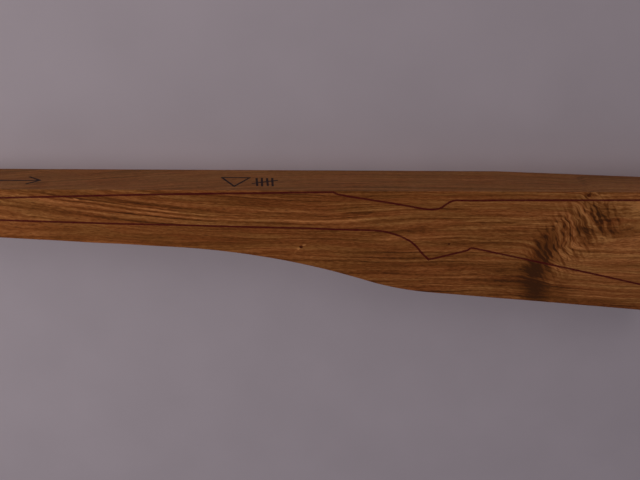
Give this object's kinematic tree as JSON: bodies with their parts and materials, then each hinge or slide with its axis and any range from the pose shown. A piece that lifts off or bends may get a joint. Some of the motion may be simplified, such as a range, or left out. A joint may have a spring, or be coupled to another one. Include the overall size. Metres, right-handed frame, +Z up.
{
  "type": "walnut stock blank",
  "caption": "Sawn walnut plank blank for a one-piece long-gun stock, with a straight top edge, curved belly, waxed ends and a drawn stock pattern.",
  "frame": {"origin": "centre of the base, on the back face that the blank lies on", "axes": "+X along the blank from the fore-end to the butt, +Y towards the straight top edge, +Z up through the thickness to the marked face"},
  "size_m": [0.833, 0.156, 0.057],
  "materials": {
    "walnut": "planed, unfinished, dry satin",
    "knot_wood": "dark dry heart of a small encased knot",
    "end_wax": "brushed-on paraffin end seal, satin"
  },
  "bodies": {
    "root": {"walnut_blank": "walnut", "wrist_pin_knot": "knot_wood", "grip_pin_knot": "knot_wood", "comb_pin_knot": "knot_wood", "forend_end_wax": "end_wax", "butt_end_wax": "end_wax"}
  },
  "joints": []
}
